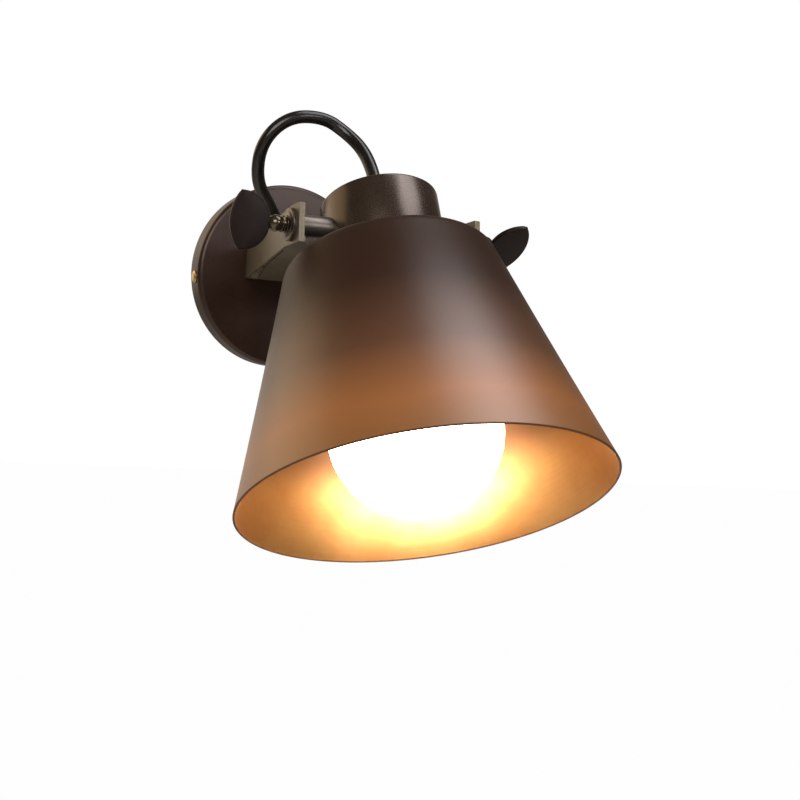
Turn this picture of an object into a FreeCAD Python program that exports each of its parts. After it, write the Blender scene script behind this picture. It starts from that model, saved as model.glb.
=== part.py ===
import FreeCAD, Part
import math
import os

# Wall lamp: round canopy, rising channel bracket with a yoke, tilting shade on two leaf thumb screws.
# Millimetres, +Z up. The wall is the plane y = 0, and the lamp stands out toward -Y.

# Canopy and wall bar
canopyDia = 110.0
canopyDepth = 15.0
canopyWall = 1.5
canopyEdge = 3.0
barLength = 98.0
barWidth = 20.0
barThick = 2.0
barSlotSpacing = 60.0
barSlotLength = 14.0
barSlotWidth = 4.6
rimScrewRadius = 2.0
rimHeadRadius = 3.8
rimScrewDrop = 4.8
terminalDrop = 19.0
terminalLength = 24.0
terminalDepth = 8.0
terminalHeight = 12.0

# Bracket arm, a channel that widens and rises from the canopy to the tilt axis
armRear = 51.2
armFront = 98.2
armHeight = 18.5
armLow = -3.5
armRise = 5.1
armFlare = 128.0
armLength = 147.0
armSheet = 1.5
yokeSheet = 1.5
notchRadius = 37.5
yokeBand = 6.7
reliefWidth = 5.8
reliefWaist = 1.8
reliefEnd = 0.8
earCorner = 1.0
armScrewSpacing = 30.0
armScrewRadius = 2.0
rivetRadius = 1.3

# Tilt axis and the head's lean at rest
axisOut = 150.5
axisUp = 17.0
headTilt = 27.0

# Pivot hardware, measured outward along the axis
studRadius = 2.5
studReach = 60.2
spacerRadius = 5.6
washerRadius = 8.4
fibreThick = 1.0
washerThick = 1.2
waveThick = 0.8
runningGap = 0.05
clearHole = 0.2

# Leaf thumb screws
leafRoot = 62.3
leafTip = 78.0
leafEnd = 83.3
leafSpan = 30.0
leafThick = 2.4
rightLeafTurn = 48.0

# Neck cup
neckRadius = 30.7
neckAbove = 17.5
neckWall = 1.2
neckEdge = 1.2
nippleRadius = 5.0
nippleBore = 3.6

# Shade, below the tilt axis along the head's own axis
shadeDrop = 19.0
shadeHeight = 125.5
shadeTopRadius = 53.0
shadeRimRadius = 90.5
shadeWall = 1.2
shadeBow = 0.3
shadeShoulder = 7.5

# Lamp holder and bulb
holderRadius = 19.5
holderBottom = 46.0
boreRadius = 14.1
shellTop = 22.0
threadPitch = 3.63
threadRadius = 13.1
threadDepth = 0.9
threadGap = 0.3
threadTurns = 4
bulbTip = 26.0
bulbRadius = 42.3
bulbCentre = 109.0
bulbNeckRadius = 12.6
glassWall = 1.0

# Cord, from the gland on the neck to the grommet in the canopy
cordDia = 7.0
glandRise = 14.0
cordHeight = 7.5
seatGap = 0.02


def vec(x, y, z):
    return FreeCAD.Vector(x, y, z)


def rod(radius, bottom, top):
    return Part.makeCylinder(radius, top - bottom, vec(0, 0, bottom))


def tube(outer, inner, bottom, top):
    return rod(outer, bottom, top).cut(rod(inner, bottom - 1, top + 1))


def turned(outline):
    # a closed outline of (radius, height) points, spun about Z
    points = [vec(r, 0, z) for r, z in outline]
    face = Part.Face(Part.makePolygon(points + points[:1]))
    return face.revolve(vec(0, 0, 0), vec(0, 0, 1), 360)


def plate(points, thick, bottom=0.0):
    outline = [vec(x, y, bottom) for x, y in points]
    return Part.Face(Part.makePolygon(outline + outline[:1])).extrude(vec(0, 0, thick))


def hexagon(flats, bottom, top):
    corner = flats / math.sqrt(3)
    points = [(corner * math.cos(math.radians(a)), corner * math.sin(math.radians(a)))
              for a in range(0, 360, 60)]
    return plate(points, top - bottom, bottom)


def roundEdges(solid, radius, wanted):
    edges = [edge for edge in solid.Edges if wanted(edge)]
    return solid.makeFillet(radius, edges)


def circleAt(height, radius):
    # picks the round edge of one radius at one height
    def wanted(edge):
        curve = edge.Curve
        if not isinstance(curve, Part.Circle):
            return False
        return abs(curve.Center.z - height) < 0.01 and abs(curve.Radius - radius) < 0.01
    return wanted


def outward(shape, side):
    # what was built up along +Z now points outward along the tilt axis, on one side
    return shape.rotated(vec(0, 0, 0), vec(0, 1, 0), 90 * side)


def onAxis(shape):
    return shape.translated(vec(0, -axisOut, axisUp))


def onHead(shape):
    # the head's own frame has its origin on the tilt axis and +Z up the neck
    return onAxis(shape.rotated(vec(0, 0, 0), vec(1, 0, 0), -headTilt))


def onArm(shape):
    # the arm's own frame starts on the canopy's face, at the channel's floor
    return shape.rotated(vec(0, 0, 0), vec(1, 0, 0), -armRise).translated(vec(0, -canopyDepth, armLow))


def save(name, *solids):
    shape = solids[0] if len(solids) == 1 else Part.makeCompound(list(solids))
    shape.exportStep("parts/" + name + ".step")
    print(name, len(shape.Solids), "solids", round(shape.Volume), "mm3", "valid", shape.isValid())


def againstWall(shape):
    # what was built up along +Z now points from the wall into the room
    return shape.rotated(vec(0, 0, 0), vec(1, 0, 0), 90)


# Canopy, wall bar and what they hold
def makeCanopy():
    outer = rod(canopyDia / 2, 0, canopyDepth)
    outer = roundEdges(outer, canopyEdge, circleAt(canopyDepth, canopyDia / 2))
    inner = rod(canopyDia / 2 - canopyWall, -1, canopyDepth - canopyWall)
    inner = roundEdges(inner, canopyEdge - canopyWall,
                       circleAt(canopyDepth - canopyWall, canopyDia / 2 - canopyWall))
    shell = againstWall(outer.cut(inner))
    for side in (-1, 1):
        rim = Part.makeCylinder(rimScrewRadius + clearHole, 8, vec(side * (canopyDia / 2 - 6), 0, 0),
                                vec(side, 0, 0))
        shell = shell.cut(lowered(rim, side))
    return shell.cut(armScrewHoles()).cut(cordHole())


def lowered(shape, side):
    # what points along X at the wall now stands half way out, turned a little down about the canopy's middle
    turn = math.degrees(math.asin(rimScrewDrop / (canopyDia / 2)))
    return shape.rotated(vec(0, 0, 0), vec(0, 1, 0), side * turn).translated(vec(0, -canopyDepth / 2, 0))


def armScrewHoles():
    holes = [Part.makeCylinder(armScrewRadius + clearHole, 2 * canopyDepth,
                               vec(side * armScrewSpacing / 2, -2 * canopyDepth, cordHeight), vec(0, 1, 0))
             for side in (-1, 1)]
    return holes[0].fuse(holes[1])


def cordHole():
    return Part.makeCylinder(cordDia / 2 + 2.4, 2 * canopyDepth, vec(0, -2 * canopyDepth, cordHeight),
                             vec(0, 1, 0))


def makeWallBar():
    half = barLength / 2
    strip = Part.makeBox(barLength, barThick, barWidth, vec(-half, -barThick, -barWidth / 2))
    for side in (-1, 1):
        tab = Part.makeBox(barThick, canopyDepth - 4, barWidth / 2,
                           vec(side * half - barThick / 2, -canopyDepth + 4, 0))
        tab = tab.translated(vec(side * (barThick / 2), 0, -rimScrewDrop - barWidth / 4))
        tapped = Part.makeCylinder(rimScrewRadius, 3 * barThick, vec(side * (half - barThick), 0, 0),
                                   vec(side, 0, 0))
        strip = strip.fuse(tab).cut(lowered(tapped, side))
        strip = strip.cut(wallSlot(side * barSlotSpacing / 2))
    cableHole = Part.makeCylinder(6, 2 * barThick + 2, vec(0, -barThick - 1, 0), vec(0, 1, 0))
    earthHole = Part.makeCylinder(1.5, 2 * barThick + 2, vec(-15, -barThick - 1, 0), vec(0, 1, 0))
    return strip.removeSplitter().cut(cableHole).cut(earthHole).cut(lugHole(0))


def wallSlot(centre):
    straight = (barSlotLength - barSlotWidth) / 2
    slot = Part.makeBox(2 * straight, barThick + 2, barSlotWidth,
                        vec(centre - straight, -barThick - 1, -barSlotWidth / 2))
    for end in (-straight, straight):
        slot = slot.fuse(Part.makeCylinder(barSlotWidth / 2, barThick + 2,
                                           vec(centre + end, -barThick - 1, 0), vec(0, 1, 0)))
    return slot.removeSplitter()


def makeRimScrew(side):
    # slotted brass screw with a domed head outside the rim
    shank = rod(rimScrewRadius - runningGap, -(canopyDia / 2 - barLength / 2 + barThick + 1), 0.3)
    head = turned([(0, 0), (rimHeadRadius, 0), (rimHeadRadius, 0.5), (rimHeadRadius * 0.7, 1.1), (0, 1.4)])
    slot = Part.makeBox(2 * rimHeadRadius + 2, 0.9, 0.8, vec(-rimHeadRadius - 1, -0.45, 0.8))
    screw = shank.fuse(head).removeSplitter().cut(slot)
    screw = outward(screw, side).translated(vec(side * (canopyDia / 2 + seatGap), 0, 0))
    return lowered(screw, side)


def makeEarthScrew():
    screw = turned([(0, -4), (1.45, -4), (1.45, 0), (3, 0), (3, 1.2), (2.2, 1.8), (0, 1.8)])
    slot = Part.makeBox(8, 0.7, 1, vec(-4, -0.35, 1.1))
    return againstWall(screw.cut(slot)).translated(vec(-15, -barThick, 0))


def makeTerminalBlock():
    low = -terminalDrop - terminalHeight / 2
    block = Part.makeBox(terminalLength, terminalDepth, terminalHeight,
                         vec(-terminalLength / 2, -barThick - terminalDepth, low))
    for x in terminalPlaces():
        middle = vec(x, -barThick - terminalDepth / 2, low - 2)
        block = block.cut(Part.makeCylinder(2, 2 * terminalHeight, middle, vec(0, 0, 1)))
        for z in terminalScrewRows():
            front = vec(x, -barThick - terminalDepth - 1, z)
            block = block.cut(Part.makeCylinder(1.6, terminalDepth, front, vec(0, 1, 0)))
    lug = Part.makeBox(6, 2, 14, vec(lugPlace()[0] - 3, -barThick - 2, low + terminalHeight - 1))
    block = block.fuse(lug).removeSplitter()
    return block.cut(lugHole(0.1))


def lugPlace():
    return (terminalLength / 2 - 3, -4.0)


def lugHole(extra):
    x, z = lugPlace()
    return Part.makeCylinder(1.5 + extra, 12, vec(x, -barThick - 8, z), vec(0, 1, 0))


def makeTerminalFixing():
    x, z = lugPlace()
    screw = turned([(0, -4), (1.45, -4), (1.45, 0), (2.8, 0), (2.8, 0.9), (1.8, 1.6), (0, 1.6)])
    slot = Part.makeBox(8, 0.7, 1, vec(-4, -0.35, 1.0))
    return againstWall(screw.cut(slot)).translated(vec(x, -barThick - 2, z))


def terminalPlaces():
    return [-terminalLength / 3, 0, terminalLength / 3]


def terminalScrewRows():
    return [-terminalDrop - terminalHeight / 4, -terminalDrop + terminalHeight / 4]


def makeTerminalScrews():
    screws = []
    for x in terminalPlaces():
        for z in terminalScrewRows():
            slot = Part.makeBox(4, 0.6, 1, vec(-2, -0.3, terminalDepth / 2 - 1.7))
            screw = rod(1.56, 0, terminalDepth / 2 - 1).cut(slot)
            screws.append(againstWall(screw).translated(vec(x, -barThick - terminalDepth / 2 - 0.7, z)))
    return screws


# Bracket arm and yoke, in the arm's own frame
def armOutline(inset, rear, front):
    # half widths from the canopy to the ears, less an inset
    a = armRear / 2 - inset
    b = armFront / 2 - inset
    right = [(a, rear), (a, 0), (b, -armFlare), (b, front)]
    return [(-x, y) for x, y in right] + list(reversed(right))


def notchCut():
    # round the neck, then widening to the ears' front corners
    centre = -(axisOut - canopyDepth)
    ring = Part.makeCylinder(notchRadius, 60, vec(0, centre, -30))
    side = notchRadius * 0.96
    inside = armFront / 2 - armSheet
    mouth = plate([(-side, centre + 10.5), (side, centre + 10.5), (inside, -armLength - 1),
                   (-inside, -armLength - 1)], 60, -30)
    return ring.fuse(mouth)


def makeArm():
    channel = plate(armOutline(0, 12, -armLength), armHeight)
    channel = channel.cut(plate(armOutline(armSheet, 14, -armLength - 2), armHeight, armSheet))
    channel = channel.cut(notchCut().common(plate(armOutline(armSheet, 14, -armLength - 2), 60, -30)))
    for side in (-1, 1):
        channel = channel.cut(reliefSlot(side)).cut(pivotHole(side)).cut(cornerCut(side))
    for x, y in rivetPlaces():
        channel = channel.cut(Part.makeCylinder(rivetRadius, 9, vec(x, y, -4)))
    channel = onArm(channel)
    behind = Part.makeBox(120, 40, 120, vec(-60, -canopyDepth, -60))
    flange = Part.makeBox(armRear - 2 * armSheet, armSheet, armHeight,
                          vec(-armRear / 2 + armSheet, -canopyDepth - armSheet, armLow + 0.2))
    channel = channel.cut(behind).fuse(flange).removeSplitter()
    return channel.cut(armScrewHoles()).cut(cordHole())


def reliefSlot(side):
    # a slot beside the bend, narrowing quickly from the canopy and then slowly to the ears
    edge = armRear / 2 - armSheet
    flare = (armFront - armRear) / 2 / armFlare
    near = 0.4 * armFlare
    far = 0.85 * armFlare
    points = [(edge, -3), (edge - reliefWidth, -3), (edge + flare * near - reliefWaist, -near),
              (edge + flare * far - reliefEnd, -far), (edge + flare * far, -far)]
    return plate([(side * x, y) for x, y in points], 8, -3)


def pivotHole(side):
    return Part.makeCylinder(studRadius + runningGap, 30, vec(side * 30, axisDepthInArm(), axisInArm()),
                             vec(side, 0, 0))


def cornerCut(side):
    # rounds the upper front corner of wall and ear together
    y = -armLength + earCorner
    z = armHeight - earCorner
    block = Part.makeBox(30, 2 * earCorner, 2 * earCorner,
                         vec(35 * side - 15 + 15 * side, y - 2 * earCorner, z))
    return block.cut(Part.makeCylinder(earCorner, 90, vec(0, y, z), vec(side, 0, 0)))


def axisInArm():
    # height of the tilt axis above the channel's floor, in the arm's frame
    a = math.radians(armRise)
    return -(axisOut - canopyDepth) * math.sin(a) + (axisUp - armLow) * math.cos(a)


def axisDepthInArm():
    a = math.radians(armRise)
    return -(axisOut - canopyDepth) * math.cos(a) - (axisUp - armLow) * math.sin(a)


def rivetPlaces():
    centre = -(axisOut - canopyDepth)
    radius = notchRadius + yokeBand / 2
    angles = [math.radians(a) for a in (-58, -20, 20, 58)]
    return [(radius * math.sin(a), centre + radius * math.cos(a)) for a in angles]


def makeYoke():
    centre = -(axisOut - canopyDepth)
    outer = armFront / 2 + yokeSheet
    band = Part.makeCylinder(notchRadius + yokeBand, yokeSheet, vec(0, centre, -yokeSheet))
    front = plate([(-outer, centre + 9), (outer, centre + 9), (outer, -armLength), (-outer, -armLength)],
                  yokeSheet, -yokeSheet)
    band = band.fuse(front).removeSplitter()
    band = band.common(plate([(-outer, 0), (outer, 0), (outer, -armLength), (-outer, -armLength)],
                             yokeSheet, -yokeSheet))
    band = band.cut(notchCut())
    for x, y in rivetPlaces():
        band = band.cut(Part.makeCylinder(rivetRadius, 9, vec(x, y, -4)))
    for side in (-1, 1):
        band = band.fuse(makeEar(side))
    return onArm(band.removeSplitter())


def makeEar(side):
    # square in front of the pivot, and round behind it
    pivot = axisDepthInArm()
    radius = armHeight - axisInArm()
    front = Part.makeBox(yokeSheet, armLength + pivot, armHeight + yokeSheet, vec(0, -armLength, -yokeSheet))
    back = Part.makeCylinder(radius, yokeSheet, vec(0, pivot, axisInArm()), vec(1, 0, 0))
    below = Part.makeBox(yokeSheet, 4 * radius, radius, vec(0, pivot - 2 * radius, -yokeSheet - radius))
    ear = front.fuse(back).cut(below).removeSplitter()
    inner = armFront / 2 if side > 0 else -armFront / 2 - yokeSheet
    return ear.translated(vec(inner, 0, 0)).cut(pivotHole(side)).cut(cornerCut(side))


def makeRivets():
    rivets = []
    for x, y in rivetPlaces():
        shank = rod(rivetRadius - 0.03, -yokeSheet, armSheet)
        low = turned([(0, -yokeSheet - 1.2), (1.3, -yokeSheet - 1.0), (2.3, -yokeSheet), (0, -yokeSheet)])
        high = turned([(0, armSheet), (2.3, armSheet), (1.3, armSheet + 1.0), (0, armSheet + 1.2)])
        rivet = shank.fuse(low).fuse(high).removeSplitter()
        rivets.append(onArm(rivet.translated(vec(x, y, 0))))
    return rivets


def makeArmScrews():
    screws = []
    for side in (-1, 1):
        screw = rod(armScrewRadius, -(canopyWall + armSheet + 6), 0)
        head = turned([(0, 0), (3.6, 0), (3.6, 0.8), (2.6, 2.2), (0, 2.4)])
        screw = screw.fuse(head).removeSplitter()
        seat = vec(side * armScrewSpacing / 2, -canopyDepth - armSheet, cordHeight)
        screws.append(againstWall(screw).translated(seat))
    return screws


def makeArmNuts():
    nuts = []
    for side in (-1, 1):
        nut = hexagon(7, 0, 3.2).cut(rod(armScrewRadius, -1, 5))
        seat = vec(side * armScrewSpacing / 2, -canopyDepth + canopyWall + 3.2, cordHeight)
        nuts.append(againstWall(nut).translated(seat))
    return nuts


def makeGrommet():
    # flanged bush through the flange and the canopy, moulded to the cord
    through = canopyWall + armSheet
    r = cordDia / 2
    bush = turned([(0, -2), (r + 3.4, -2), (r + 4, -1.2), (r + 4, 0), (r + 2.3, 0), (r + 2.3, through),
                   (r + 4, through), (r + 3.6, through + 1.4), (r + 2.6, through + 2), (0, through + 2)])
    return againstWall(bush).translated(vec(0, -canopyDepth + canopyWall, cordHeight))


# Pivot hardware on each side of the neck
def stackPlaces():
    # outer faces of the ear, fibre washer, steel washer and wave washer
    ear = armFront / 2 + yokeSheet
    return [ear, ear + fibreThick, ear + fibreThick + washerThick, ear + fibreThick + washerThick + waveThick]


def makeStud(side):
    stud = rod(studRadius, holderRadius + 2.5, studReach)
    return onAxis(outward(stud, side))


def makeStudNut(side):
    inside = math.sqrt((neckRadius - neckWall) ** 2 - 16) - 0.1
    nut = hexagon(8, inside - 3.6, inside).cut(rod(studRadius, 0, 40))
    return onAxis(outward(nut, side))


def makeSpacer(side):
    inner = armFront / 2 - armSheet - fibreThick
    sleeve = tube(spacerRadius, studRadius + runningGap, neckRadius - 2, inner)
    saddle = Part.makeCylinder(neckRadius + seatGap, 40, vec(0, 0, 0),
                               vec(1, 0, 0)).translated(vec(-20, 0, 0))
    return onHead(outward(sleeve.cut(saddle), side))


def makeFibreWashers(side):
    inner = armFront / 2 - armSheet
    ear = stackPlaces()[0]
    inside = tube(6.4, studRadius + runningGap, inner - fibreThick + seatGap, inner - seatGap)
    outside = tube(washerRadius, studRadius + runningGap, ear + seatGap, ear + fibreThick)
    return [onAxis(outward(inside, side)), onAxis(outward(outside, side))]


def makeSteelWasher(side):
    ear, fibre, steel, wave = stackPlaces()
    washer = turned([(studRadius + runningGap, fibre), (washerRadius, fibre), (washerRadius, steel - 0.4),
                     (washerRadius - 0.5, steel), (studRadius + runningGap, steel)])
    return onAxis(outward(washer, side))


def makeWaveWasher(side):
    ear, fibre, steel, wave = stackPlaces()
    washer = turned([(studRadius + runningGap, steel), (6.4, steel), (6.0, steel + waveThick * 0.5),
                     (4.6, wave), (studRadius + runningGap, wave)])
    return onAxis(outward(washer, side))


def makeLeaf(side):
    # D-shaped blade on a turned hub with a ring and a ball
    wave = stackPlaces()[3]
    root = vec(0, leafRoot, 0)
    tips = [vec(0, 0, leafRoot), vec(leafSpan / 2, 0, leafTip), vec(-leafSpan / 2, 0, leafTip),
            vec(0, 0, leafEnd)]
    innerArc = Part.Arc(tips[2], tips[0], tips[1]).toShape()
    outerArc = Part.Arc(tips[1], tips[3], tips[2]).toShape()
    blade = Part.Face(Part.Wire([innerArc, outerArc])).extrude(vec(0, leafThick, 0))
    blade = blade.translated(vec(0, -leafThick / 2, 0))
    rims = [edge for edge in blade.Edges if abs(edge.CenterOfMass.y) > leafThick / 2 - 0.1]
    blade = blade.makeFillet(0.5, rims)
    hub = turned([(0, wave + seatGap), (4.6, wave + seatGap), (4.6, wave + 0.5), (3.2, wave + 0.9),
                  (3.2, 55.0),
                  (4.3, 55.3), (4.3, 56.5), (3.2, 56.9), (0, 56.9)])
    ball = Part.makeSphere(4.3, vec(0, 0, 59.2))
    stem = turned([(0, 60), (2.6, 60), (1.6, leafRoot + 0.6), (0, leafRoot + 2.2)])
    leaf = hub.fuse([ball, stem, blade]).removeSplitter()
    bore = rod(studRadius + runningGap, 0, studReach + 0.3)
    return leaf.cut(bore)


def placedLeaf(side):
    turn = rightLeafTurn if side > 0 else 0.0
    leaf = outward(makeLeaf(side), side).rotated(vec(0, 0, 0), vec(1, 0, 0), turn)
    return onAxis(leaf)


# Head, built about its own axis
def makeNeck():
    outer = rod(neckRadius, -shadeDrop, neckAbove)
    outer = roundEdges(outer, neckEdge, circleAt(neckAbove, neckRadius))
    cup = outer.cut(rod(neckRadius - neckWall, -shadeDrop - 1, neckAbove - neckWall))
    cup = cup.cut(rod(nippleRadius + clearHole, 0, neckAbove + 5))
    for side in (-1, 1):
        cup = cup.cut(Part.makeCylinder(studRadius + 0.1, 20, vec(side * (neckRadius - 10), 0, 0),
                                        vec(side, 0, 0)))
    return onHead(cup)


def bowedSide(upper, lower):
    # a nearly straight side, bowed a little toward the axis
    slope = lower - upper
    inward = vec(slope.z, 0, -slope.x).normalize()
    return Part.Arc(upper, (upper + lower) * 0.5 + inward * shadeBow, lower).toShape()


def makeShade():
    top = -shadeDrop
    bottom = top - shadeHeight
    across = shadeWall * math.hypot(1, (shadeRimRadius - shadeTopRadius) / shadeHeight)
    hole = holderRadius + 0.3
    innerTop = shadeTopRadius - across
    outside = [vec(hole, 0, top), vec(shadeTopRadius, 0, top), vec(shadeRimRadius, 0, bottom)]
    inside = [vec(shadeRimRadius - across, 0, bottom), vec(innerTop, 0, top - shadeWall),
              vec(hole, 0, top - shadeWall)]
    edges = [Part.LineSegment(outside[0], outside[1]).toShape(), bowedSide(outside[1], outside[2]),
             Part.LineSegment(outside[2], inside[0]).toShape(), bowedSide(inside[1], inside[0]),
             Part.LineSegment(inside[1], inside[2]).toShape(),
             Part.LineSegment(inside[2], outside[0]).toShape()]
    wire = Part.Wire(Part.sortEdges(edges)[0])
    shell = Part.Face(wire).revolve(vec(0, 0, 0), vec(0, 0, 1), 360)
    shell = roundEdges(shell, shadeShoulder, circleAt(top, shadeTopRadius))
    shell = roundEdges(shell, shadeShoulder - shadeWall, circleAt(top - shadeWall, innerTop))
    return onHead(shell)


def makeShadeRing():
    top = -shadeDrop - shadeWall
    ring = tube(29, holderRadius + 0.1, top - 5, top)
    ring = roundEdges(ring, 1.0, circleAt(top - 5, 29))
    for k in range(12):
        a = math.radians(30 * k)
        ring = ring.cut(Part.makeCylinder(2.2, 8, vec(30 * math.cos(a), 30 * math.sin(a), top - 7)))
    return onHead(ring)


def makeNipple():
    return onHead(tube(nippleRadius, nippleBore, 3, neckAbove + 5))


def makeNippleNut():
    nut = hexagon(14, neckAbove - neckWall - 3.5, neckAbove - neckWall).cut(rod(nippleRadius, 0, 30))
    return onHead(nut)


def makeGland():
    # collar on the neck, tapering to the cord
    base = neckAbove
    tip = neckAbove + glandRise
    r = cordDia / 2
    body = turned([(0, base), (7.0, base), (7.0, base + 2.2), (6.0, base + 3.0), (5.9, base + 6.0),
                   (r + 1.4, tip - 0.8), (r + 0.9, tip), (0, tip)])
    body = body.cut(rod(nippleRadius, base - 1, base + 5)).cut(rod(r - 0.4, base + 2, tip - 4))
    return onHead(body)


def makeHolderCap():
    bore = nippleRadius + runningGap
    wall = holderRadius - 3
    cap = turned([(bore, 9), (15, 9), (holderRadius, 5), (holderRadius, -6), (wall, -6), (wall, 3),
                  (bore, 3)])
    return onHead(cap)


def makeHolderBody():
    r = holderRadius
    shoulder = 23.0
    body = turned([(0, -15), (r - 5, -15), (r - 5, -6.02), (r, -6.02), (r, -15), (shoulder, -15),
                   (shoulder, -shadeDrop),
                   (r, -shadeDrop), (r, -holderBottom), (boreRadius, -holderBottom),
                   (boreRadius, -shellTop + 2), (0, -shellTop + 2)])
    return onHead(body)


def makeContactBase():
    disc = turned([(0, -shellTop + 2), (boreRadius - 0.1, -shellTop + 2), (boreRadius - 0.1, -shellTop),
                   (0, -shellTop)])
    return onHead(disc)


def makeCentreContact():
    # sprung brass tongue, pressed down on the bulb's tip
    foot = Part.makeBox(6, 5, 0.5, vec(-10, -2.5, -shellTop - 0.5))
    a = vec(-4.2, -2.5, -shellTop)
    b = vec(0.5, -2.5, -bulbTip + 0.55)
    c = vec(4.0, -2.5, -bulbTip + 0.55)
    down = vec(0, 0, -0.5)
    strip = Part.Face(Part.makePolygon([a, b, c, c + down, b + down, a + down, a])).extrude(vec(0, 5, 0))
    return onHead(foot.fuse(strip).removeSplitter())


def threadWave(radius, depth, top, turns):
    # crests and roots of the screw shell, as (radius, height) points
    wave = []
    for k in range(2 * turns + 1):
        crest = k % 2 == 1
        wave.append((radius if crest else radius - depth, top - k * threadPitch / 2))
    return wave


def makeThreadShell():
    r = threadRadius + threadGap
    top = -bulbTip - 5
    inside = threadWave(r, threadDepth, top, threadTurns)
    low = inside[-1][1]
    outside = [(radius + 0.4, height) for radius, height in reversed(inside)]
    outline = [(r - 1.6, -shellTop), (r - 1.6, -shellTop - 0.5), (r - threadDepth, -shellTop - 0.5)] + inside
    outline += [(r - threadDepth, low - 0.4), (r - threadDepth + 0.4, low - 0.4)] + outside
    outline += [(r - threadDepth + 0.4, -shellTop - 0.4), (boreRadius - 0.15, -shellTop - 0.4),
                (boreRadius - 0.15, -shellTop)]
    return onHead(turned(outline))


# Bulb
def makeBulbCap():
    top = -bulbTip - 5
    wave = threadWave(threadRadius, threadDepth, top, threadTurns)
    low = wave[-1][1]
    root = threadRadius - threadDepth
    skirt = -holderBottom - 4
    outline = [(root - 2.4, top + 0.5), (root - 0.4, top + 0.5)] + wave
    outline += [(root, -holderBottom - 1), (threadRadius + 0.1, -holderBottom - 1.5),
                (threadRadius + 0.1, skirt - 2), (bulbNeckRadius + 0.02, skirt - 2)]
    outline += [(bulbNeckRadius + 0.02, -holderBottom - 1.8), (root - 0.5, -holderBottom - 1.3),
                (root - 0.5, top - 0.2), (root - 2.4, top - 0.2)]
    return onHead(turned(outline))


def makeBulbInsulator():
    top = -bulbTip - 5
    root = threadRadius - threadDepth
    cone = turned([(0, -bulbTip - 1.5), (4.6, -bulbTip - 1.5), (root - 2.6, top + 0.5),
                   (root - 2.5, top - 1.5), (0, top - 1.5)])
    return onHead(cone)


def makeBulbTip():
    return onHead(turned([(0, -bulbTip + 0.03), (2.6, -bulbTip - 0.1), (4.4, -bulbTip - 0.7),
                          (4.4, -bulbTip - 1.5), (0, -bulbTip - 1.5)]))


def globeForm(inset):
    neck = bulbNeckRadius - inset
    ball = bulbRadius - inset
    flare = 22.0
    neckTop = -holderBottom - 2
    # a flare arc runs from the straight neck to the ball, tangent to both
    side = neck + flare
    height = math.sqrt((ball + flare) ** 2 - side ** 2)
    flareZ = -bulbCentre + height
    turn = math.atan2(height, side)
    meet = vec(side - flare * math.cos(turn), 0, flareZ - flare * math.sin(turn))
    middle = vec(side - flare * math.cos(turn / 2), 0, flareZ - flare * math.sin(turn / 2))
    bottom = vec(0, 0, -bulbCentre - ball)
    low = math.atan2(meet.z + bulbCentre, meet.x)
    half = (low - math.pi / 2) / 2
    belly = vec(ball * math.cos(half), 0, -bulbCentre + ball * math.sin(half))
    edges = [Part.LineSegment(vec(0, 0, neckTop), vec(neck, 0, neckTop)).toShape(),
             Part.LineSegment(vec(neck, 0, neckTop), vec(neck, 0, flareZ)).toShape(),
             Part.Arc(vec(neck, 0, flareZ), middle, meet).toShape(),
             Part.Arc(meet, belly, bottom).toShape(),
             Part.LineSegment(bottom, vec(0, 0, neckTop)).toShape()]
    return Part.Face(Part.Wire(edges)).revolve(vec(0, 0, 0), vec(0, 0, 1), 360)


def makeBulbGlass():
    floor = rod(bulbNeckRadius - 0.5, -holderBottom - 3, -holderBottom - 2)
    return onHead(globeForm(0).cut(globeForm(glassWall)).fuse(floor))


def makeBulbStem():
    # lamp unit inside the globe: a tapered post with a domed head
    top = -holderBottom - 3
    stem = turned([(0, top), (9, top), (9, top - 6), (6, top - 12), (5, -bulbCentre + 10),
                   (7, -bulbCentre + 4), (5, -bulbCentre - 2), (0, -bulbCentre - 4)])
    return onHead(stem)


# Cord route, chosen by hand, from the gland to the grommet
def cordPoints():
    lean = math.radians(headTilt)
    rise = neckAbove + glandRise
    start = vec(0, -axisOut + rise * math.sin(lean), axisUp + rise * math.cos(lean))
    second = start + vec(0, math.sin(lean), math.cos(lean)) * 15
    middle = [vec(-6, -115, 71), vec(-21, -111, 80.5), vec(-41.5, -111, 78.5), vec(-54, -106.5, 63),
              vec(-52, -97, 44.5),
              vec(-40.5, -89, 32.5), vec(-29, -76, 22), vec(-20, -64, 12), vec(-8, -47, cordHeight + 1)]
    face = -canopyDepth - armSheet - 2
    end = [vec(0, face - 15.2, cordHeight), vec(0, face, cordHeight)]
    return [start, second] + middle + end


def roundedPath(points):
    # straight runs joined by arcs, each as wide as its shorter neighbour allows
    edges = []
    here = points[0]
    for before, corner, after in zip(points, points[1:], points[2:]):
        back = before - corner
        ahead = after - corner
        turn = math.pi - back.getAngle(ahead)
        setback = 0.45 * min(back.Length, ahead.Length)
        radius = setback / math.tan(turn / 2)
        first = corner + back.normalize() * setback
        last = corner + ahead.normalize() * setback
        bisector = (back + ahead).normalize()
        middle = corner + bisector * (radius / math.cos(turn / 2) - radius)
        edges.append(Part.LineSegment(here, first).toShape())
        edges.append(Part.Arc(first, middle, last).toShape())
        here = last
    edges.append(Part.LineSegment(here, points[-1]).toShape())
    return Part.Wire(edges)


def tubeAlong(points, radius):
    path = roundedPath(points)
    section = Part.Wire(Part.makeCircle(radius, points[0], points[1] - points[0]))
    return path.makePipeShell([section], True, True)


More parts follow.
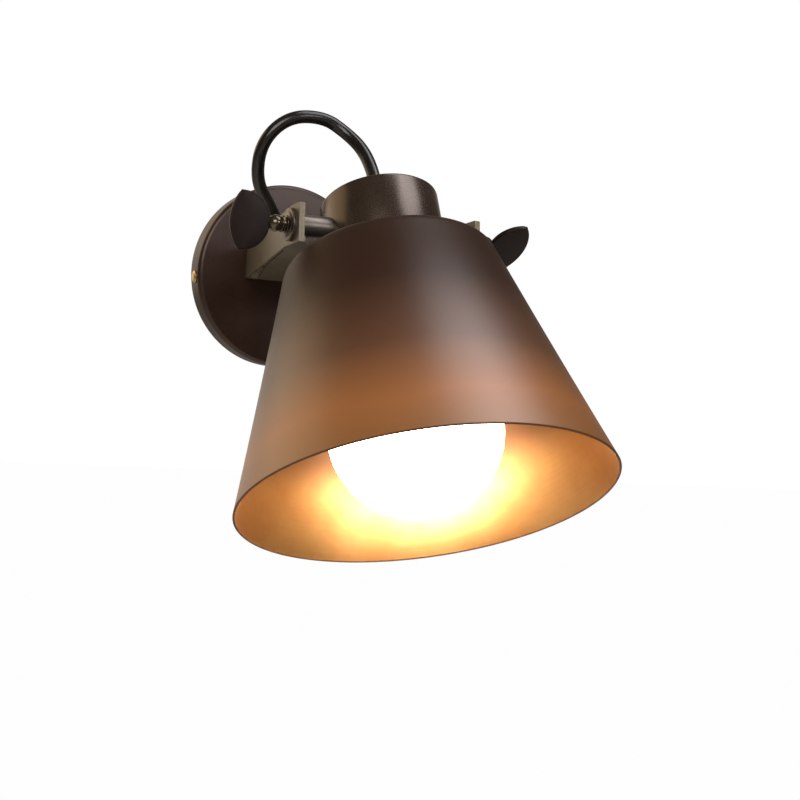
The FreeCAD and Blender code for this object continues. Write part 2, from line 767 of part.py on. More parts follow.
def makeCordTail():
    # the sheath's stub inside the canopy, with a core to each terminal
    back = -canopyDepth + canopyWall + 2
    tail = Part.makeCylinder(cordDia / 2, 1.5, vec(0, back, cordHeight), vec(0, 1, 0))
    deep = -barThick - terminalDepth / 2 - 0.8
    top = -terminalDrop + terminalHeight / 2
    for place, x in enumerate(terminalPlaces()):
        start = vec((place - 1) * 2.2, back + 1, cordHeight - 1)
        route = [start, start + vec(0, 3.6, 0), vec(x * 0.8, deep - 0.6, cordHeight - 7),
                 vec(x, deep, top + 7), vec(x, deep, top - 1)]
        tail = tail.fuse(tubeAlong(route, 1.0))
    return tail.removeSplitter()


def makeCord():
    points = cordPoints()
    cord = tubeAlong(points, cordDia / 2)
    path = roundedPath(points)
    radii = [round(edge.Curve.Radius, 1) for edge in path.Edges if isinstance(edge.Curve, Part.Circle)]
    expected = math.pi * cordDia ** 2 / 4 * path.Length
    print("cord radii", radii, "length", round(path.Length, 1), "volume", round(cord.Volume), "expected",
          round(expected))
    return cord


def main():
    os.makedirs("parts", exist_ok=True)
    sides = (-1, 1)
    save("canopy", makeCanopy())
    save("wall_bar", makeWallBar())
    save("rim_screws", *[makeRimScrew(side) for side in sides])
    save("earth_screw", makeEarthScrew())
    save("terminal_block", makeTerminalBlock())
    save("terminal_screws", *makeTerminalScrews())
    save("terminal_fixing", makeTerminalFixing())
    save("arm_channel", makeArm())
    save("yoke", makeYoke())
    save("yoke_rivets", *makeRivets())
    save("arm_screws", *makeArmScrews())
    save("arm_nuts", *makeArmNuts())
    save("cord_grommet", makeGrommet())
    save("pivot_studs", *[makeStud(side) for side in sides])
    save("stud_nuts", *[makeStudNut(side) for side in sides])
    save("pivot_spacers", *[makeSpacer(side) for side in sides])
    save("fibre_washers", *[washer for side in sides for washer in makeFibreWashers(side)])
    save("steel_washers", *[makeSteelWasher(side) for side in sides])
    save("wave_washers", *[makeWaveWasher(side) for side in sides])
    save("leaf_screw_left", placedLeaf(-1))
    save("leaf_screw_right", placedLeaf(1))
    save("neck_cup", makeNeck())
    save("shade", makeShade())
    save("shade_ring", makeShadeRing())
    save("hollow_nipple", makeNipple())
    save("nipple_nut", makeNippleNut())
    save("cord_gland", makeGland())
    save("holder_cap", makeHolderCap())
    save("holder_body", makeHolderBody())
    save("contact_base", makeContactBase())
    save("centre_contact", makeCentreContact())
    save("thread_shell", makeThreadShell())
    save("bulb_cap", makeBulbCap())
    save("bulb_insulator", makeBulbInsulator())
    save("bulb_tip", makeBulbTip())
    save("bulb_glass", makeBulbGlass())
    save("bulb_stem", makeBulbStem())
    save("cord", makeCord())
    save("cord_tail", makeCordTail())


main()
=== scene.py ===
import math
import bmesh
import bpy
from mathutils import Matrix, Vector


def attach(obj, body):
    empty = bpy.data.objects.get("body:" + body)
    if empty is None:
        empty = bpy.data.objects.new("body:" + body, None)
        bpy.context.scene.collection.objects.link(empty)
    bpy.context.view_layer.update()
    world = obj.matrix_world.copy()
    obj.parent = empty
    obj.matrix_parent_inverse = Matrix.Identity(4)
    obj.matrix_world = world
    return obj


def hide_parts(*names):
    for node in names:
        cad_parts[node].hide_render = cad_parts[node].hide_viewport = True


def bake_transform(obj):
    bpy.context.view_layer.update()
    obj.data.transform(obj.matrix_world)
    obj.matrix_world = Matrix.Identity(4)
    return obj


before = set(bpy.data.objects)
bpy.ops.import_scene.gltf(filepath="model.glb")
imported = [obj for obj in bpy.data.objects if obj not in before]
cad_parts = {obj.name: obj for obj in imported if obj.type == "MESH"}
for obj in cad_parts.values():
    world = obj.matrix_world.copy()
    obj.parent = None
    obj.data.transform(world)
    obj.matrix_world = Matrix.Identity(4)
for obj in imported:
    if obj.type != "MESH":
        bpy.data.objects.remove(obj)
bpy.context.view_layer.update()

scene = bpy.context.scene
scene.view_settings.view_transform = "Standard"
mm = 0.001

# Where things sit: the tilt axis, the head's lean at rest, the bracket's sheet and the cord's way in
lamp = {"axisOut": 150.5, "axisUp": 17.0, "lean": 27.0, "sheet": 1.5, "cordHeight": 7.5}
axisPoint = Vector((0, -lamp["axisOut"] * mm, lamp["axisUp"] * mm))
axisPlace = Matrix.Translation(axisPoint)
headPlace = axisPlace @ Matrix.Rotation(math.radians(-lamp["lean"]), 4, "X")
wallPlace = Matrix.Rotation(math.radians(90), 4, "X")  # local Z points from the wall into the room


def outwardPlace(side, turn=0.0):  # local Z points outward along the tilt axis, turned about it in degrees
    turned = axisPlace @ Matrix.Rotation(math.radians(turn), 4, "X")
    return turned @ Matrix.Rotation(math.radians(90 * side), 4, "Y")


class Val:  # a socket that can be reckoned with
    def __init__(self, paint, socket):
        self.paint = paint
        self.socket = socket

    def reckon(self, operation, *values):
        return self.paint.node("ShaderNodeMath", {"operation": operation}, dict(enumerate(values)))

    def __add__(self, other):
        return self.reckon("ADD", self, other)

    def __radd__(self, other):
        return self.reckon("ADD", other, self)

    def __sub__(self, other):
        return self.reckon("SUBTRACT", self, other)

    def __rsub__(self, other):
        return self.reckon("SUBTRACT", other, self)

    def __mul__(self, other):
        return self.reckon("MULTIPLY", self, other)

    def __rmul__(self, other):
        return self.reckon("MULTIPLY", other, self)

    def __truediv__(self, other):
        return self.reckon("DIVIDE", self, other)

    def __rtruediv__(self, other):
        return self.reckon("DIVIDE", other, self)

    def ramp(self, low, high):  # 0 at low, 1 at high, smooth between
        sockets = {"Value": self, "From Min": low, "From Max": high}
        return self.paint.node("ShaderNodeMapRange", {"interpolation_type": "SMOOTHSTEP"}, sockets)

    def stretched(self, vector):
        return self.paint.node("ShaderNodeVectorMath", {"operation": "MULTIPLY"}, {0: self, 1: vector})


class Paint:  # the nodes of one material, or of the world
    def __init__(self, owner):
        owner.use_nodes = True
        self.owner = owner
        self.tree = owner.node_tree
        self.tree.nodes.clear()

    def node(self, kind, settings=None, sockets=None, out=0):
        made = self.tree.nodes.new(kind)
        for key, value in (settings or {}).items():
            if key == "stops":
                self.setStops(made.color_ramp, value)
            else:
                setattr(made, key, value)
        for key, value in (sockets or {}).items():
            self.feed(made.inputs[key], value)
        return Val(self, made.outputs[out]) if len(made.outputs) else made

    def feed(self, socket, value):
        if isinstance(value, Val):
            self.tree.links.new(value.socket, socket)
        elif socket.type == "RGBA" and len(value) == 3:
            socket.default_value = (*value, 1)
        else:
            socket.default_value = value

    def setStops(self, ramp, stops):
        while len(ramp.elements) < len(stops):
            ramp.elements.new(0.5)
        for element, (place, shade) in zip(ramp.elements, stops):
            element.position = place
            element.color = (*shade, 1)

    def where(self):  # the piece's own coordinates
        return self.node("ShaderNodeTexCoord", out=3)

    def part(self, vector, axis):
        return self.node("ShaderNodeSeparateXYZ", None, {0: vector}, out="XYZ".index(axis))

    def noise(self, vector, scale, detail):
        sockets = {"Vector": vector, "Scale": scale, "Detail": detail, "Roughness": 0.55}
        return self.node("ShaderNodeTexNoise", None, sockets)

    def mixed(self, factor, first, second):  # 6, 7 and 2 are the node's colour sockets
        return self.node("ShaderNodeMix", {"data_type": "RGBA"}, {0: factor, 6: first, 7: second}, out=2)

    def bump(self, height, strength, distance):
        sockets = {"Height": height, "Strength": strength, "Distance": distance}
        return self.node("ShaderNodeBump", None, sockets)

    def finish(self, sockets):
        shader = self.node("ShaderNodeBsdfPrincipled", None, sockets)
        self.node("ShaderNodeOutputMaterial", None, {"Surface": shader})
        return self.owner


def newPaint(name):
    return Paint(bpy.data.materials.new(name))


# Bronze paint: dark satin, a little warmer and lighter in soft clouds, with a fine orange peel
bronze = {"dark": (0.143, 0.116, 0.079), "warm": (0.214, 0.176, 0.123), "rough": 0.38, "grain": 900.0}


def bronzePaint(name, dark=bronze["dark"], warm=bronze["warm"], rough=bronze["rough"], metal=0.45, coat=0.12,
                relief=0.10, ior=1.5):
    p = newPaint(name)
    at = p.where()
    cloud = p.noise(at, 28.0, 4.0)
    speck = p.noise(at, bronze["grain"], 2.0)
    spun = p.noise(at.stretched((40, 40, 1500)), 1.0, 2.0)
    tone = (cloud * 0.75 + speck * 0.25).ramp(0.36, 0.66)
    return p.finish({
        "Base Color": p.mixed(tone, dark, warm),
        "Metallic": metal, "IOR": ior,
        "Roughness": rough + (cloud - 0.5) * 0.10 + (speck - 0.5) * 0.06,
        "Coat Weight": coat, "Coat Roughness": 0.22,
        "Normal": p.bump(speck * 0.6 + spun * 0.4, relief, 0.00012)})


# Shade outside: the same paint, fading from dark at the crown to tan at the rim, with a dark edge; the orange
# tan toward the rim is painted glow, the bulb's warm light painted into the colour
shadeFinishAndGlow = {
    "stops": [(0.0, (0.034, 0.017, 0.011)), (0.30, (0.035, 0.013, 0.006)), (0.60, (0.112, 0.038, 0.011)),
              (0.85, (0.350, 0.120, 0.024)), (1.0, (0.275, 0.105, 0.020))],
    "fadeTop": -0.019, "fadeLow": -0.1445, "drift": 0.010, "rough": 0.46,
    "coat": 0.72, "coatFrom": 0.1, "coatTo": 0.75,
    "edge": (0.11, 0.045, 0.018), "edgeTop": -0.1436, "edgeLow": -0.1441}


def shadePaint():
    p = newPaint("shadeBronze")
    at = p.where()
    down = p.part(at, "Z")
    cloud = p.noise(at, 16.0, 3.0)
    speck = p.noise(at, 1100.0, 2.0)
    spun = p.noise(at.stretched((30, 30, 1400)), 1.0, 2.0)
    drop = shadeFinishAndGlow["fadeLow"] - shadeFinishAndGlow["fadeTop"]
    fade = (down + (cloud - 0.5) * shadeFinishAndGlow["drift"] - shadeFinishAndGlow["fadeTop"]) / drop
    edge = 1 - down.ramp(shadeFinishAndGlow["edgeLow"], shadeFinishAndGlow["edgeTop"])
    # the ramp's lighter orange tan toward the rim is painted glow from the bulb
    body = p.node("ShaderNodeValToRGB", {"stops": shadeFinishAndGlow["stops"]}, {0: fade})
    coat = fade.ramp(shadeFinishAndGlow["coatFrom"], shadeFinishAndGlow["coatTo"]) * (1 - edge) * shadeFinishAndGlow["coat"]
    return p.finish({
        "Base Color": p.mixed(edge, body, shadeFinishAndGlow["edge"]),
        "Metallic": 0.10, "IOR": 1.32,
        "Roughness": shadeFinishAndGlow["rough"] + (cloud - 0.5) * 0.08 + (speck - 0.5) * 0.05,
        "Coat Weight": coat, "Coat IOR": 2.0, "Coat Roughness": 0.40,
        "Normal": p.bump(speck * 0.5 + spun * 0.5, 0.08, 0.0001)})


# Shade inside: gold lacquer, browner toward the crown; that darker brown is painted shade
goldFinishAndShade = {"bright": (0.60, 0.315, 0.095), "deep": (0.49, 0.215, 0.052), "dim": (0.20, 0.080, 0.022),
              "dimLow": -0.120, "dimTop": -0.094, "rough": 0.335}


def goldPaint():
    p = newPaint("goldLining")
    at = p.where()
    cloud = p.noise(at, 30.0, 4.0)
    speck = p.noise(at, 1300.0, 2.0)
    spun = p.noise(at.stretched((40, 40, 1800)), 1.0, 2.0)
    gilt = p.mixed((cloud * 0.85 + spun * 0.15).ramp(0.3, 0.7), goldFinishAndShade["bright"], goldFinishAndShade["deep"])
    # above this height the lining is mixed toward the dim brown: painted shade
    crown = p.part(at, "Z").ramp(goldFinishAndShade["dimLow"], goldFinishAndShade["dimTop"])
    return p.finish({
        "Base Color": p.mixed(crown, gilt, goldFinishAndShade["dim"]),
        "Metallic": 1.0,
        "Coat Weight": 1.0, "Coat Roughness": 0.30,
        "Roughness": goldFinishAndShade["rough"] + (cloud - 0.5) * 0.1,
        "Normal": p.bump(speck * 0.7 + spun * 0.3, 0.04, 0.00012)})


def metalPaint(name, light, dark, rough):  # turned or plated metal
    p = newPaint(name)
    at = p.where()
    turned = p.noise(at.stretched((60, 60, 2600)), 1.0, 3.0)
    smear = p.noise(at, 160.0, 4.0)
    return p.finish({
        "Base Color": p.mixed((turned * 0.5 + smear * 0.5).ramp(0.3, 0.7), light, dark),
        "Metallic": 1.0,
        "Roughness": rough + (smear - 0.5) * 0.14 + (turned - 0.5) * 0.06,
        "Normal": p.bump(turned, 0.10, 0.00008)})


def plasticPaint(name, light, dark, rough, grain=700.0, coat=0.0, weight=0.15):  # moulded or fired pieces
    p = newPaint(name)
    at = p.where()
    fine = p.noise(at, grain, 3.0)
    broad = p.noise(at, 45.0, 3.0)
    return p.finish({
        "Base Color": p.mixed(broad.ramp(0.3, 0.7), light, dark),
        "Roughness": rough + (broad - 0.5) * 0.12 + (fine - 0.5) * 0.08,
        "Coat Weight": coat,
        "Normal": p.bump(fine, weight, 0.0001)})


# Cord: a smooth black sheath with a faint fine grain
cordFinish = {"light": (0.012, 0.010, 0.010), "dark": (0.005, 0.004, 0.004), "rough": 0.28}


def sheathPaint():
    p = newPaint("cordSheath")
    at = p.where()
    broad = p.noise(at, 90.0, 3.0)
    fine = p.noise(at, 1500.0, 2.0)
    return p.finish({
        "Base Color": p.mixed(broad.ramp(0.3, 0.7), cordFinish["dark"], cordFinish["light"]),
        "Roughness": cordFinish["rough"] + (broad - 0.5) * 0.10,
        "Coat Weight": 0.2,
        "Normal": p.bump(fine, 0.12, 0.00008)})


# Bulb: opal glass, lit evenly, dimmer toward its neck
glow = {"globe": (1.0, 0.90, 0.74), "neck": (0.15, 0.13, 0.10), "neckLow": -0.150, "neckTop": -0.095,
        "strength": 26.5, "glass": (0.92, 0.90, 0.86), "cloudy": (0.88, 0.85, 0.80)}


def opalPaint():
    p = newPaint("opalGlow")
    at = p.where()
    height = p.part(at, "Z").ramp(glow["neckLow"], glow["neckTop"])
    cloud = p.noise(at, 40.0, 2.0)
    return p.finish({
        "Base Color": p.mixed(cloud * 0.3, glow["glass"], glow["cloudy"]),
        "Roughness": 0.25 + (cloud - 0.5) * 0.1,
        "Emission Color": p.mixed(height, glow["globe"], glow["neck"]),
        "Emission Strength": glow["strength"]})


# The bronze paint's other tones: dark, warm, roughness, metal, coat, relief, IOR
bronzeTones = {
    "canopyBronze": ((0.030, 0.012, 0.008), (0.047, 0.020, 0.013), 0.36, 0.2, 0.12, 0.04),
    "leafBronze": ((0.010, 0.006, 0.005), (0.019, 0.011, 0.010), 0.36, 0.1, 0.0, 0.05, 1.25),
    "hubBronze": ((0.095, 0.074, 0.050), (0.165, 0.132, 0.094), 0.20, 0.85),
    "spacerBronze": ((0.17, 0.145, 0.125), (0.25, 0.22, 0.20), 0.40, 0.9, 0.0),
    "neckBronze": ((0.054, 0.032, 0.021), (0.074, 0.047, 0.033), 0.27, 0.6, 0.2, 0.03, 2.0),
}
paints = {
    "bronze": bronzePaint("satinBronze"),
    **{name: bronzePaint(name, *tone) for name, tone in bronzeTones.items()},
    "shade": shadePaint(),
    "gold": goldPaint(),
    "steel": metalPaint("zincPlate", (0.50, 0.50, 0.50), (0.34, 0.34, 0.35), 0.32),
    "darkSteel": metalPaint("blackedSteel", (0.19, 0.165, 0.135), (0.085, 0.072, 0.058), 0.32),
    "brass": metalPaint("plainBrass", (0.80, 0.60, 0.28), (0.60, 0.42, 0.18), 0.28),
    "capMetal": metalPaint("capMetal", (0.78, 0.77, 0.75), (0.58, 0.57, 0.55), 0.30),
    "fibre": plasticPaint("fibreSheet", (0.055, 0.040, 0.030), (0.028, 0.020, 0.016), 0.62, 1400.0, 0.0, 0.3),
    "white": plasticPaint("glazedWhite", (0.82, 0.81, 0.77), (0.72, 0.70, 0.66), 0.30, 300.0, 0.3, 0.05),
    "black": plasticPaint("blackMoulding", (0.016, 0.016, 0.016), (0.030, 0.029, 0.028), 0.40),
    "rubber": plasticPaint("blackRubber", (0.018, 0.018, 0.018), (0.034, 0.033, 0.032), 0.70, 1100.0, 0.0,
                           0.3),
    "cord": sheathPaint(),
    "opal": opalPaint(),
}
print("paints", len(paints))


# Edges: shading breaks, edges to bevel, faces that count as flat, points to weld, corners to round
edgeRule = {"smooth": math.radians(38), "sharp": math.radians(35), "flat": math.radians(0.8), "weld": 2e-6,
            "straight": math.radians(165), "share": 0.45, "steps": 3, "tiny": 1e-6}


def addPiece(name, mesh, paint, body, replaced=(), place=None):
    piece = bpy.data.objects.new(name, mesh)
    scene.collection.objects.link(piece)
    mesh.materials.clear()
    mesh.materials.append(paints[paint])
    if place is not None:
        piece.matrix_world = place
    for face in mesh.polygons:
        face.use_smooth = True
    mesh.set_sharp_from_angle(angle=edgeRule["smooth"])
    if replaced:
        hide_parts(*replaced)
    if body:
        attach(piece, body)
    return piece


def softened(outline, radius):  # rounds each corner of a closed (radius, height) outline off the axis
    result = []
    count = len(outline)
    steps = edgeRule["steps"]
    for i, (x, y) in enumerate(outline):
        corner = Vector((x, y))
        before = Vector(outline[i - 1]) - corner
        after = Vector(outline[(i + 1) % count]) - corner
        short = min(before.length, after.length)
        if min(x, short) < edgeRule["tiny"] or before.angle(after) > edgeRule["straight"]:
            result.append((x, y))
            continue
        cut = min(radius / math.tan(before.angle(after) / 2), short * edgeRule["share"])
        start = corner + before.normalized() * cut
        end = corner + after.normalized() * cut
        for k in range(steps + 1):
            t = k / steps
            point = start.lerp(corner, t).lerp(corner.lerp(end, t), t)
            result.append((point.x, point.y))
    return result


def lathe(mesh, outline, segments, closed=True):  # spins an outline in mm about local Z
    rings = []
    for r, z in outline:
        if r < edgeRule["tiny"]:
            rings.append([mesh.verts.new((0, 0, z * mm))])
            continue
        ring = []
        for k in range(segments):
            a = 2 * math.pi * k / segments
            ring.append(mesh.verts.new((r * math.cos(a) * mm, r * math.sin(a) * mm, z * mm)))
        rings.append(ring)
    uppers = rings[1:] + rings[:1] if closed else rings[1:]
    for lower, upper in zip(rings, uppers):
        if len(lower) == 1 and len(upper) == 1:
            continue
        for k in range(segments):
            n = (k + 1) % segments
            if len(lower) == 1:
                mesh.faces.new((lower[0], upper[n], upper[k]))
            elif len(upper) == 1:
                mesh.faces.new((lower[k], lower[n], upper[0]))
            else:
                mesh.faces.new((lower[k], lower[n], upper[n], upper[k]))


def toMesh(name, work):
    bmesh.ops.recalc_face_normals(work, faces=work.faces)
    mesh = bpy.data.meshes.new(name)
    work.to_mesh(mesh)
    work.free()
    return mesh


def turnedPiece(name, outline, paint, body, replaced, place, radius, segments):
    work = bmesh.new()
    lathe(work, softened(outline, radius) if radius else outline, segments)
    addPiece(name, toMesh(name, work), paint, body, replaced, place)


def turnedSet(name, outlines, paint, body, replaced, radius, segments=64):
    work = bmesh.new()  # several like pieces as one object, each from (placement, outline)
    for place, outline in outlines:
        first = len(work.verts)
        lathe(work, softened(outline, radius), segments)
        work.verts.ensure_lookup_table()
        bmesh.ops.transform(work, matrix=place, verts=work.verts[first:])
    addPiece(name, toMesh(name, work), paint, body, replaced)


def settleNormals(mesh):  # big flat faces stay flat beside narrow rounded edges
    around = {}
    for face in mesh.polygons:
        for v in face.vertices:
            around.setdefault(v, []).append(face)
    normals = []
    for face in mesh.polygons:
        for v in face.vertices:
            near = [f for f in around[v] if f.normal.angle(face.normal, 0) < edgeRule["smooth"]]
            normals.append(sum((f.normal * f.area for f in near), Vector()).normalized())
    mesh.normals_split_custom_set(normals)


def dressed(node, paint, body, bevel):  # a CAD node's own form, with its edges broken
    work = bmesh.new()
    work.from_mesh(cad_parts[node].data)
    bmesh.ops.remove_doubles(work, verts=work.verts, dist=edgeRule["weld"])
    bmesh.ops.dissolve_limit(work, angle_limit=edgeRule["flat"], verts=work.verts, edges=work.edges)
    folds = [e for e in work.edges if len(e.link_faces) == 2]
    sharp = [e for e in folds if e.calc_face_angle() > edgeRule["sharp"]]
    if bevel and sharp:
        bmesh.ops.bevel(work, geom=sharp, offset=bevel * mm, segments=2, affect="EDGES", profile=0.5,
                        clamp_overlap=True)
    piece = addPiece(node + "Piece", toMesh(node, work), paint, body, (node,))
    settleNormals(piece.data)
    return piece


# Camera: the photograph's angle, distance and crop
camera = {"place": (-0.302204, -0.802924, -0.05142), "across": (0.93125776, -0.35854851, 0.06482247),
          "above": (-0.0804265, -0.02876104, 0.99634551), "ahead": (0.35537384, 0.93306793, 0.05562075),
          "lens": 63.119, "sensor": 36, "shiftX": 0.14755, "shiftY": -0.14632}


def makeCamera():
    data = bpy.data.cameras.new("photoCamera")
    data.lens = camera["lens"]
    data.sensor_width = camera["sensor"]
    data.shift_x = camera["shiftX"]
    data.shift_y = camera["shiftY"]
    eye = bpy.data.objects.new("photoCamera", data)
    scene.collection.objects.link(eye)
    x, y, z = Vector(camera["across"]), Vector(camera["above"]), -Vector(camera["ahead"])
    turn = Matrix((x, y, z)).transposed().to_4x4()
    eye.matrix_world = Matrix.Translation(camera["place"]) @ turn
    scene.camera = eye


makeCamera()
print("camera")


# Cord: gland on the neck, loop to the left, down into the bracket, grommet in the canopy
cord = {"across": 7.0, "segments": 20, "rise": 31.5, "first": 6.5, "smooth": 14, "order": 3,
        "middle": [(-2, -123, 63.7), (-8.3, -114, 73), (-21, -111, 80.7), (-41.3, -111, 78.4),
                   (-54, -106.5, 63.7), (-52, -97, 44), (-40, -89, 32.5), (-29, -76, 22), (-20, -64, 12),
                   (-8, -47, 8.5)],
        "end": [(0, -33.7, 7.5), (0, -18.5, 7.5)]}


def cordRoute():
    up = headPlace.to_3x3() @ Vector((0, 0, 1))
    start = axisPoint / mm + up * cord["rise"]
    return [start, start + up * cord["first"]] + [Vector(p) for p in cord["middle"] + cord["end"]]


def cordLine():  # points along a NURBS spline that has the route as its control points
    route = cordRoute()
    data = bpy.data.curves.new("cordRoute", "CURVE")
    data.dimensions = "3D"
    data.resolution_u = cord["smooth"]
    spline = data.splines.new("NURBS")
    spline.points.add(len(route) - 1)
    for point, place in zip(spline.points, route):
        point.co = (*place, 1)
    spline.order_u = cord["order"]
    spline.use_endpoint_u = True
    guide = bpy.data.objects.new("cordRoute", data)
    followed = bpy.data.meshes.new_from_object(guide)
    line = [v.co.copy() for v in followed.vertices]
    bpy.data.objects.remove(guide)
    bpy.data.meshes.remove(followed)
    return line


def makeCord():
    line = cordLine()
    count = cord["segments"]
    work = bmesh.new()
    ahead = (line[1] - line[0]).normalized()
    side = ahead.orthogonal().normalized()
    rings = []
    for i, point in enumerate(line):
        heading = (line[min(i + 1, len(line) - 1)] - line[max(i - 1, 0)]).normalized()
        side = (side - heading * side.dot(heading)).normalized()
        up = heading.cross(side)
        ring = []
        for k in range(count):
            a = 2 * math.pi * k / count
            out = side * math.cos(a) + up * math.sin(a)
            ring.append(work.verts.new((point + out * cord["across"] / 2) * mm))
        rings.append(ring)
    for lower, upper in zip(rings, rings[1:]):
        for k in range(count):
            n = (k + 1) % count
            work.faces.new((lower[k], lower[n], upper[n], upper[k]))
    work.faces.new(rings[0])
    work.faces.new(rings[-1])
    piece = addPiece("cordLoop", toMesh("cordLoop", work), "cord", None, ("cord",))
    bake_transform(piece)


makeCord()

# Shade: a bell with a bowed side and a rounded shoulder, its lining meeting the outside at a rolled rim
shade = {"top": -19.0, "height": 125.5, "crown": 53.0, "rim": 90.5, "wall": 1.2, "bow": 0.3, "shoulder": 7.5,
         "hole": 19.8, "topSteps": 6, "turnSteps": 12, "sideSteps": 24, "segments": 160}
shadeLow = shade["top"] - shade["height"]


def shadeSkin(inset, shoulder):  # (radius, height) points from the hole out over the shoulder to the rim
    slope = math.atan2(shade["rim"] - shade["crown"], shade["height"])
    top = shade["top"] - inset
    crown = shade["crown"] - inset / math.cos(slope)
    rim = shade["rim"] - inset / math.cos(slope)
    turn = math.pi / 2 - slope
    bend = crown - shoulder * math.tan(turn / 2)
    steps = shade["topSteps"]
    points = [(shade["hole"] + (bend - shade["hole"]) * k / steps, top) for k in range(steps)]
    steps = shade["turnSteps"]
    for k in range(steps + 1):
        a = math.pi / 2 - turn * k / steps
        points.append((bend + shoulder * math.cos(a), top - shoulder + shoulder * math.sin(a)))
    r0, z0 = points[-1]
    steps = shade["sideSteps"]
    for k in range(1, steps + 1):
        t = k / steps
        bow = 4 * shade["bow"] * t * (1 - t)
        points.append((r0 + (rim - r0) * t - bow, z0 + (shadeLow - z0) * t))
    return points


def makeShade():
    outer = shadeSkin(0.0, shade["shoulder"])
    middle = shadeSkin(shade["wall"] * 0.5, shade["shoulder"] - 0.6)
    inner = shadeSkin(shade["wall"], shade["shoulder"] - shade["wall"])
    rim = shade["rim"]
    rolled = [(rim - 0.05, shadeLow + 0.35), (rim - 0.35, shadeLow), (rim - 0.95, shadeLow),
              (rim - shade["wall"], shadeLow + 0.3)]
    edge = [(inner[-1][0] + 0.25, shadeLow + 0.30), (inner[-1][0], shadeLow + 0.45)]
    shell = outer[:-1] + rolled + middle[-2::-1]
    lining = middle[:-1] + edge + inner[-2::-1]
    for name, outline, paint, replaced in [("shadeShell", shell, "shade", ("shade",)),
                                           ("shadeLining", lining, "gold", ())]:
        work = bmesh.new()
        lathe(work, outline, shade["segments"])
        addPiece(name, toMesh(name, work), paint, "head", replaced, headPlace)


makeShade()
print("shade")

# Neck cup, cord gland and what the neck hides; each outline is (radius, height) pairs along the head
neck = {"radius": 30.7, "above": 17.5, "wall": 1.2, "edge": 1.2, "bore": 5.2}
gland = {"foot": 7.0, "rise": 14.0, "bore": 3.1}
base = neck["above"]
tip = base + gland["rise"]
cupWall = neck["radius"] - neck["wall"]
cupRoof = base - neck["wall"]
turnedPiece("neckCup", [(neck["bore"], base), (neck["radius"], base), (neck["radius"], shade["top"]),
                        (cupWall, shade["top"]), (cupWall, cupRoof), (neck["bore"], cupRoof)],
            "neckBronze", "head", ("neck_cup",), headPlace, neck["edge"], 128)
turnedPiece("cordGland", [(gland["bore"], base), (gland["foot"], base), (gland["foot"], base + 2.2),
                          (6.1, base + 3.0), (5.9, base + 6.0), (5.2, base + 9.5), (4.9, tip - 0.8),
                          (4.4, tip), (3.45, tip), (gland["bore"], tip - 4)],
            "black", "head", ("cord_gland",), headPlace, 0.3, 48)
turnedPiece("hollowNipple", [(3.6, 3), (5, 3), (5, base + 4.6), (3.6, base + 4.6)],
            "steel", "head", ("hollow_nipple",), headPlace, 0.2, 40)
turnedPiece("holderCap", [(5, 9), (15, 9), (19.5, 5), (19.5, -6), (16.5, -6), (16.5, 3), (5, 3)],
            "black", "head", ("holder_cap",), headPlace, 0.5, 72)
turnedPiece("holderBody", [(0, -15), (14.5, -15), (14.5, -6.05), (19.5, -6.05), (19.5, -15), (23, -15),
                           (23, -19), (19.5, -19), (19.5, -46), (14.1, -46), (14.1, -20), (0, -20)],
            "black", "head", ("holder_body",), headPlace, 0.4, 96)
turnedPiece("contactBase", [(0, -20), (14, -20), (14, -22), (0, -22)],
            "white", "head", ("contact_base",), headPlace, 0.2, 64)

# Screw shell and bulb cap share one thread
thread = {"radius": 13.1, "depth": 0.9, "gap": 0.3, "pitch": 3.63, "turns": 4, "top": -31.0, "steps": 8,
          "segments": 96, "sheet": 0.35}


def threadWave(radius):
    wave = []
    steps = thread["steps"]
    for k in range(thread["turns"] * steps + 1):
        swing = 0.5 + 0.5 * math.cos(2 * math.pi * k / steps)
        wave.append((radius - thread["depth"] * swing, thread["top"] - k * thread["pitch"] / steps))
    return wave


shellR = thread["radius"] + thread["gap"]
inside = threadWave(shellR)
outside = [(r + thread["sheet"], z) for r, z in reversed(inside)]
turnedPiece("threadShell", [(shellR - 1.6, -22), (shellR - 1.6, -22.5), (shellR - 0.9, -22.5)] + inside
            + outside + [(shellR - 0.5, -22.4), (13.95, -22.4), (13.95, -22)],
            "brass", "head", ("thread_shell",), headPlace, 0, thread["segments"])
wave = threadWave(thread["radius"])
root = thread["radius"] - thread["depth"]
turnedPiece("bulbCap", [(root - 2.4, -30.5), (root - 0.4, -30.5)] + wave
            + [(root, -47), (13.2, -47.5), (13.2, -52), (12.62, -52), (12.62, -47.8), (root - 0.5, -47.3),
               (root - 0.5, -31.2), (root - 2.4, -31.2)],
            "capMetal", "bulb", ("bulb_cap",), headPlace, 0, thread["segments"])
turnedPiece("bulbInsulator", [(0, -27.5), (4.6, -27.5), (root - 2.6, -30.5), (root - 2.5, -32.5), (0, -32.5)],
            "black", "bulb", ("bulb_insulator",), headPlace, 0.3, 64)
turnedPiece("bulbTip", [(0, -25.97), (2.6, -26.1), (4.4, -26.7), (4.4, -27.5), (0, -27.5)],
            "brass", "bulb", ("bulb_tip",), headPlace, 0.15, 48)

# Globe: straight neck, a flare tangent to neck and ball, then the ball
globe = {"ball": 42.3, "centre": -109.0, "neck": 12.6, "flare": 22.0, "top": -48.0, "flareSteps": 16,
         "ballSteps": 48, "segments": 128}


